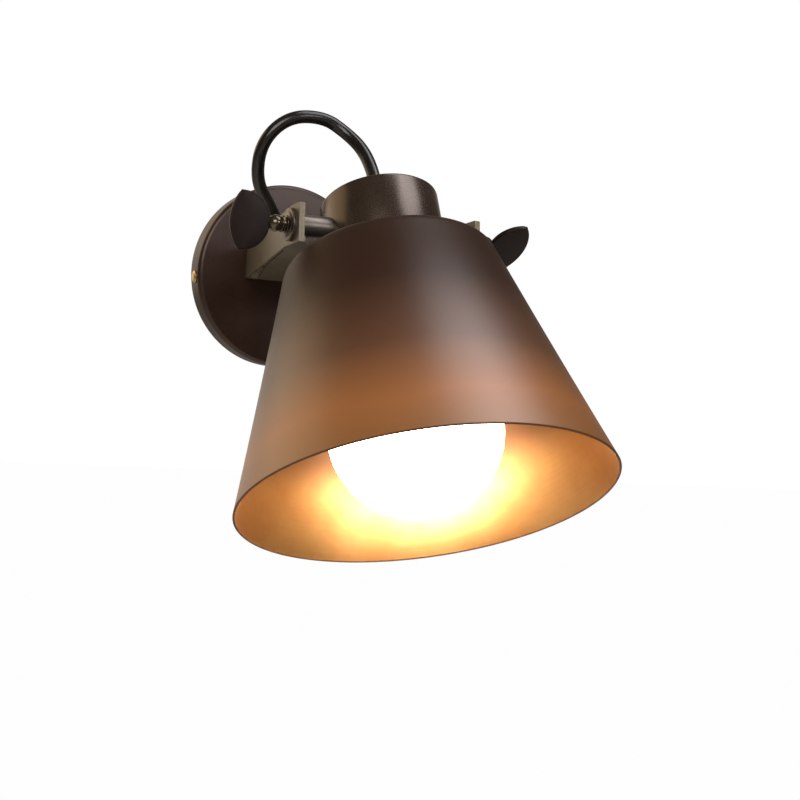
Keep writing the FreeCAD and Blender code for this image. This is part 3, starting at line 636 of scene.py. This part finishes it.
def globeLine():
    side = globe["neck"] + globe["flare"]
    height = math.sqrt((globe["ball"] + globe["flare"]) ** 2 - side ** 2)
    flareZ = globe["centre"] + height
    turn = math.atan2(height, side)
    points = [(0, globe["top"]), (globe["neck"] - 0.5, globe["top"]), (globe["neck"], globe["top"] - 0.6)]
    steps = globe["flareSteps"]
    for k in range(steps + 1):
        a = turn * k / steps
        points.append((side - globe["flare"] * math.cos(a), flareZ - globe["flare"] * math.sin(a)))
    start = math.asin((points[-1][1] - globe["centre"]) / globe["ball"])
    steps = globe["ballSteps"]
    for k in range(1, steps + 1):
        a = start + (-math.pi / 2 - start) * k / steps
        radius = globe["ball"] * math.cos(a) if k < steps else 0
        points.append((radius, globe["centre"] + globe["ball"] * math.sin(a)))
    return points


work = bmesh.new()
lathe(work, globeLine(), globe["segments"], closed=False)
addPiece("globe", toMesh("globe", work), "opal", "bulb", ("bulb_glass", "bulb_stem"), headPlace)
print("head")

# Pivot hardware, both sides; heights are along the axis from the lamp's middle
stack = {"ear": 50.6, "earSheets": 3.0, "fibre": 1.0, "steel": 1.2, "wave": 0.8, "bore": 2.55, "stud": 2.5,
         "studFrom": 22, "studEnd": 60.2, "chamfer": 0.4, "play": 0.02, "small": 6.4, "large": 8.4}
fibreTop = stack["ear"] + stack["fibre"]
steelTop = fibreTop + stack["steel"]
waveTop = steelTop + stack["wave"]
earInside = stack["ear"] - stack["earSheets"]
both = [outwardPlace(-1), outwardPlace(1)]


def onBoth(outlines):
    return [(place, outline) for place in both for outline in outlines]


def washer(radius, low, high):
    return [(stack["bore"], low), (radius, low), (radius, high), (stack["bore"], high)]


spacer = washer(5.6, 29.6, earInside - 1.0)
innerFibre = washer(stack["small"], earInside - 0.98, earInside - stack["play"])
outerFibre = washer(stack["large"], stack["ear"] + stack["play"], fibreTop)
steelWasher = washer(stack["large"], fibreTop, steelTop)
waveWasher = [(stack["bore"], steelTop), (stack["small"], steelTop), (6.0, steelTop + 0.4), (4.6, waveTop),
              (stack["bore"], waveTop)]
thin = stack["stud"] - stack["chamfer"]
studFrom, studEnd = stack["studFrom"], stack["studEnd"]
stud = [(0, studFrom), (thin, studFrom), (stack["stud"], studFrom + stack["chamfer"]),
        (stack["stud"], studEnd - stack["chamfer"]), (thin, studEnd), (0, studEnd)]
for name, outlines, paint, slot, node, radius, segments in [
        ("pivotSpacers", [spacer], "spacerBronze", "bright_chrome", "pivot_spacers", 0.5, 72),
        ("fibreWashers", [innerFibre, outerFibre], "fibre", "fibre", "fibre_washers", 0.12, 64),
        ("steelWashers", [steelWasher], "darkSteel", "zinc_steel", "steel_washers", 0.45, 80),
        ("waveWashers", [waveWasher], "darkSteel", "zinc_steel", "wave_washers", 0.12, 64),
        ("pivotStuds", [stud], "steel", "zinc_steel", "pivot_studs", 0.1, 40)]:
    turnedSet(name, onBoth(outlines), paint, "head", (node,), radius, segments)

# Leaf thumb screws: turned hub, ring and ball, then a crowned leaf blade
leaf = {"root": 62.3, "tips": 78.0, "end": 83.3, "half": 15.0, "thick": 2.4, "edge": 0.7, "rightTurn": 48.0,
        "steps": 40, "crown": 0.15, "ball": 4.3, "ballAt": 59.2, "ballSteps": 24}


def arcThrough(a, b, c, count):  # points on the arc a-b-c, in the leaf's plane
    d = 2 * (a[0] * (b[1] - c[1]) + b[0] * (c[1] - a[1]) + c[0] * (a[1] - b[1]))
    square = [p[0] ** 2 + p[1] ** 2 for p in (a, b, c)]
    x = (square[0] * (b[1] - c[1]) + square[1] * (c[1] - a[1]) + square[2] * (a[1] - b[1])) / d
    y = (square[0] * (c[0] - b[0]) + square[1] * (a[0] - c[0]) + square[2] * (b[0] - a[0])) / d
    radius = math.hypot(a[0] - x, a[1] - y)
    first, middle, last = [math.atan2(p[1] - y, p[0] - x) for p in (a, b, c)]
    sweep = (last - first) % (2 * math.pi)
    if (middle - first) % (2 * math.pi) > sweep:
        sweep -= 2 * math.pi
    angles = [first + sweep * k / count for k in range(count + 1)]
    return [(x + radius * math.cos(t), y + radius * math.sin(t)) for t in angles]


def leafRows(width):  # (share of the width, half thickness) across the blade, its edges rounded
    edge = min(leaf["edge"], width * 0.45)
    half = leaf["thick"] / 2 * min(1.0, 0.4 + width / 6)
    turns = [math.pi / 8 * k for k in range(5)]
    near = [(edge * (1 - math.cos(a)), half - edge * (1 - math.sin(a))) for a in turns]
    near = [(max(0.0, x), max(0.15, y)) for x, y in near]
    rows = near + [(width / 2, half + leaf["crown"])] + [(width - x, y) for x, y in reversed(near)]
    return [(x / width, y) for x, y in rows]


def leafBlade(work):
    h, tips = leaf["half"], leaf["tips"]
    outer = arcThrough((h, tips), (0, leaf["end"]), (-h, tips), leaf["steps"])
    inner = arcThrough((h, tips), (0, leaf["root"]), (-h, tips), leaf["steps"])
    grid = {}
    for i, (low, high) in enumerate(zip(inner, outer)):
        width = max(0.6, math.dist(low, high))
        for j, (t, half) in enumerate(leafRows(width)):
            for face in (1, -1):
                x = low[0] + (high[0] - low[0]) * t
                z = low[1] + (high[1] - low[1]) * t
                grid[face, i, j] = work.verts.new((x * mm, face * half * mm, z * mm))
    last = max(j for face, i, j in grid)
    for i in range(leaf["steps"]):
        for j in range(last):
            for face in (1, -1):
                quad = [grid[face, i + a, j + b] for a, b in ((0, 0), (1, 0), (1, 1), (0, 1))]
                work.faces.new(quad[::face])
        for j, way in ((0, 1), (last, -1)):
            quad = [grid[1, i, j], grid[-1, i, j], grid[-1, i + 1, j], grid[1, i + 1, j]]
            work.faces.new(quad[::way])
    for i in (0, leaf["steps"]):
        for j in range(last):
            work.faces.new((grid[1, i, j], grid[1, i, j + 1], grid[-1, i, j + 1], grid[-1, i, j]))


def makeLeaf(name, side, turn, body, node):
    work = bmesh.new()
    foot = waveTop + stack["play"]
    hub = [(0, foot), (4.6, foot), (4.6, foot + 0.5), (3.2, foot + 0.9), (3.2, 55.0), (4.3, 55.3),
           (4.3, 56.5), (3.2, 56.9), (3.0, 57.2), (0, 57.2)]
    lathe(work, softened(hub, 0.25), 64)
    steps = leaf["ballSteps"]
    turns = [math.pi * k / steps for k in range(steps + 1)]
    ball = [(leaf["ball"] * math.sin(a), leaf["ballAt"] - leaf["ball"] * math.cos(a)) for a in turns]
    ball[0] = (0, ball[0][1])
    ball[-1] = (0, ball[-1][1])
    lathe(work, ball, 64, closed=False)
    lathe(work, [(0, 60), (2.6, 60.2), (2.1, 61.8), (1.6, 62.9), (0.7, 64.0), (0, 64.4)], 48, closed=False)
    place = outwardPlace(side, turn)
    addPiece(name + "Hub", toMesh(name + "Hub", work), "hubBronze", body, (), place)
    work = bmesh.new()
    leafBlade(work)
    addPiece(name, toMesh(name, work), "leafBronze", body, (node,), place)


makeLeaf("leafScrewLeft", -1, 0.0, "left_knob", "leaf_screw_left")
makeLeaf("leafScrewRight", 1, leaf["rightTurn"], "right_knob", "leaf_screw_right")
print("pivots")

# Canopy, its screws and grommet, built out from the wall
canopy = {"radius": 55.0, "depth": 15.0, "wall": 1.5, "edge": 3.0, "inner": 1.5, "lip": 0.25, "edgeSteps": 10,
          "innerSteps": 6, "segments": 160}


def makeCanopy():
    r, d, w, lip = canopy["radius"], canopy["depth"], canopy["wall"], canopy["lip"]

    def rounded(a, radius, inset):  # a point on a rim rounded by radius, inset from the outside
        return (r - inset - radius * (1 - math.sin(a)), d - inset - radius * (1 - math.cos(a)))

    steps = canopy["edgeSteps"]
    outer = [rounded(math.pi / 2 * (1 - k / steps), canopy["edge"], 0) for k in range(steps + 1)]
    steps = canopy["innerSteps"]
    inner = [rounded(math.pi / 2 * k / steps, canopy["inner"], w) for k in range(steps + 1)]
    work = bmesh.new()
    lathe(work, [(r - w, 0), (r - lip, 0), (r, lip)] + outer + [(r * 0.5, d), (0, d), (0, d - w)] + inner,
          canopy["segments"])
    addPiece("canopyShell", toMesh("canopyShell", work), "canopyBronze", "base", ("canopy",),
             wallPlace)


makeCanopy()
rimScrew = {"head": 3.8, "drop": 4.8, "out": 55.02, "shank": 1.95, "deep": -6, "step": 0.5}


def rimPlace(side):  # local Z points out of the rim, a little below the canopy's middle
    turn = math.asin(rimScrew["drop"] / canopy["radius"])
    low = Matrix.Rotation(side * turn, 4, "Y") @ Matrix.Rotation(math.radians(90 * side), 4, "Y")
    middle = Matrix.Translation((0, -canopy["depth"] / 2 * mm, 0))
    return middle @ low @ Matrix.Translation((0, 0, rimScrew["out"] * mm))


rimOutline = [(0, rimScrew["deep"]), (rimScrew["shank"], rimScrew["deep"]), (rimScrew["shank"], 0),
              (rimScrew["head"], 0), (rimScrew["head"], rimScrew["step"]), (rimScrew["head"] * 0.7, 1.1),
              (0, 1.4)]
turnedSet("rimScrews", [(rimPlace(side), rimOutline) for side in (-1, 1)], "brass", "base",
          ("rim_screws",), 0.2, 40)
through = canopy["wall"] + lamp["sheet"]
grommetOut = (canopy["depth"] - canopy["wall"]) * mm
grommetPlace = wallPlace @ Matrix.Translation((0, lamp["cordHeight"] * mm, grommetOut))
turnedPiece("cordGrommet", [(0, -2), (6.9, -2), (7.5, -1.2), (7.5, 0), (5.8, 0), (5.8, through),
                            (7.5, through), (7.1, through + 1.4), (6.1, through + 2), (0, through + 2)],
            "rubber", "base", ("cord_grommet",), grommetPlace, 0.2, 56)
for node, paint, slot, body, bevel in [
        ("arm_channel", "bronze", "bronze_paint", "base", 0.12),
        ("yoke", "bronze", "bronze_paint", "base", 0.12),
        ("yoke_rivets", "darkSteel", "zinc_steel", "base", 0),
        ("arm_screws", "darkSteel", "zinc_steel", "base", 0),
        ("arm_nuts", "steel", "zinc_steel", "base", 0.2),
        ("wall_bar", "steel", "zinc_steel", "base", 0.25),
        ("earth_screw", "brass", "brass", "base", 0),
        ("terminal_block", "white", "white_plastic", "base", 0.25),
        ("terminal_screws", "brass", "brass", "base", 0),
        ("terminal_fixing", "steel", "zinc_steel", "base", 0),
        ("cord_tail", "cord", "cord_sheath", "base", 0),
        ("stud_nuts", "steel", "zinc_steel", "head", 0.2),
        ("shade_ring", "black", "black_plastic", "head", 0.3),
        ("nipple_nut", "steel", "zinc_steel", "head", 0.25),
        ("centre_contact", "brass", "brass", "head", 0)]:
    dressed(node, paint, body, bevel)
print("bracket")

# Floor, studio light, and a room that is white behind the lamp
room = {"floor": -0.62, "reach": 6, "pale": (0.80, 0.80, 0.79), "floorWhite": 0.985, "middle": (0, -0.15, 0),
        "camera": 1.0, "fill": 0.33, "rightShade": 0.33, "shadeFrom": -0.1, "shadeTo": 0.9,
        "mirrorBack": 0.85, "mirrorFront": 0.09, "backFrom": 0.55, "backTo": 1.0, "warm": (1.0, 0.86, 0.70),
        "white": (1, 1, 1)}


def makeFloor():
    mesh = bpy.data.meshes.new("floor")
    far = room["reach"]
    corners = [(x, y, room["floor"]) for x, y in ((-far, -far), (far, -far), (far, far), (-far, far))]
    mesh.from_pydata(corners, [], [(0, 1, 2, 3)])
    floor = bpy.data.objects.new("floor", mesh)
    scene.collection.objects.link(floor)
    p = newPaint("paleFloor")
    seen = p.node("ShaderNodeLightPath", out=0)
    lit = p.node("ShaderNodeBsdfDiffuse", None, {"Color": room["pale"]})
    white = p.node("ShaderNodeEmission", None, {"Color": room["white"], "Strength": 1.0})
    mixed = p.node("ShaderNodeMixShader", None, {0: seen * room["floorWhite"], 1: lit, 2: white})
    p.node("ShaderNodeOutputMaterial", None, {"Surface": mixed})
    mesh.materials.append(p.owner)


def makeWorld():
    world = bpy.data.worlds.new("room")
    scene.world = world
    p = Paint(world)
    toward = p.node("ShaderNodeTexCoord", out=0)
    back = p.part(toward, "Y").ramp(room["backFrom"], room["backTo"])
    right = p.part(toward, "X").ramp(room["shadeFrom"], room["shadeTo"])
    fill = room["fill"] - right * room["rightShade"]
    mirror = back * (room["mirrorBack"] - room["mirrorFront"]) + room["mirrorFront"]
    seen = p.node("ShaderNodeLightPath", out=0)
    glossy = p.node("ShaderNodeLightPath", out=3)
    level = seen * room["camera"] + (1 - seen) * (glossy * mirror + (1 - glossy) * fill)
    colour = p.mixed(seen, room["warm"], room["white"])
    sky = p.node("ShaderNodeBackground", None, {"Color": colour, "Strength": level})
    p.node("ShaderNodeOutputWorld", None, {"Surface": sky})


def softLight(name, turn, rise, distance, size, power, shade):  # turn and rise are degrees round and up
    turn, rise = math.radians(turn), math.radians(rise)
    toward = Vector((math.sin(turn) * math.cos(rise), -math.cos(turn) * math.cos(rise), math.sin(rise)))
    data = bpy.data.lights.new(name, "AREA")
    data.shape = "RECTANGLE"
    data.size, data.size_y = size
    data.energy = power
    data.color = shade
    light = bpy.data.objects.new(name, data)
    scene.collection.objects.link(light)
    light.location = Vector(room["middle"]) + toward * distance
    light.rotation_euler = (-toward).to_track_quat("-Z", "Y").to_euler()


makeFloor()
makeWorld()
softLight("front", -28, 24, 1.5, (1.0, 0.8), 11, (1.0, 0.96, 0.88))
softLight("lowRight", 24, 16, 1.5, (0.5, 0.30), 3.0, (1.0, 0.98, 0.96))
softLight("highFront", 53, 54, 1.4, (0.85, 0.5), 4.6, (1.0, 0.98, 1.0))
softLight("highRight", 66, 74, 1.4, (0.6, 0.6), 3.6, (1.0, 0.98, 1.0))
softLight("warmLeft", -136, 24, 1.5, (1.2, 0.8), 3.3, (1.0, 0.75, 0.45))
print("room")
